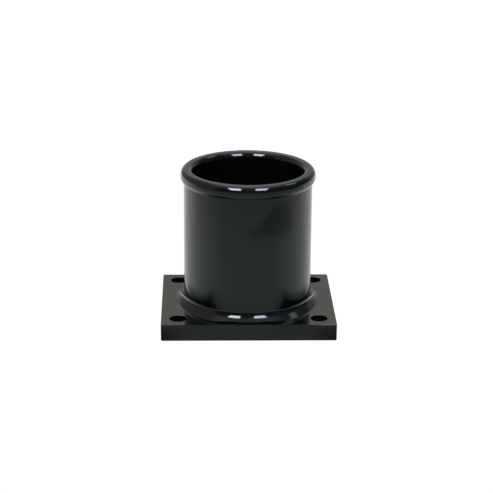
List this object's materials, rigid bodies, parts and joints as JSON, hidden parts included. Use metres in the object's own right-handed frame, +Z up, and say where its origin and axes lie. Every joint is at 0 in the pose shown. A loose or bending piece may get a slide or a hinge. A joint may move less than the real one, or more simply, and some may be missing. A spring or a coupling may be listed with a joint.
{
  "type": "stanchion base",
  "caption": "Flanged deck socket for a tubular stanchion: a bolt-down rectangular plate carries an upright round socket with a rolled rim, a lined bore and rear set screws.",
  "frame": {"origin": "centre of the plate's underside, on the socket's axis", "axes": "+Z up the socket, out of its mouth; +X along the plate's longer side; +Y towards the back, where the set screws are"},
  "size_m": [0.0814, 0.068, 0.0735],
  "materials": {
    "gloss_coat": "gloss black powder coat",
    "liner_plastic": "matt black moulded nylon",
    "screw_steel": "plain stainless steel"
  },
  "bodies": {
    "base": {"base_plate": "gloss_coat", "socket_tube": "gloss_coat", "foot_weld": "gloss_coat", "rim_ring": "gloss_coat", "bore_liner": "liner_plastic"},
    "left_screw": {"set_screw_left": "screw_steel"},
    "right_screw": {"set_screw_right": "screw_steel"}
  },
  "joints": [
    {"name": "left_screw_travel", "type": "slide", "parent": "base", "child": "left_screw", "axis": [0.5, -0.866, 0], "range_m": [-0.002, 0.0015]},
    {"name": "right_screw_travel", "type": "slide", "parent": "base", "child": "right_screw", "axis": [-0.5, -0.866, 0], "range_m": [-0.002, 0.0015]}
  ]
}
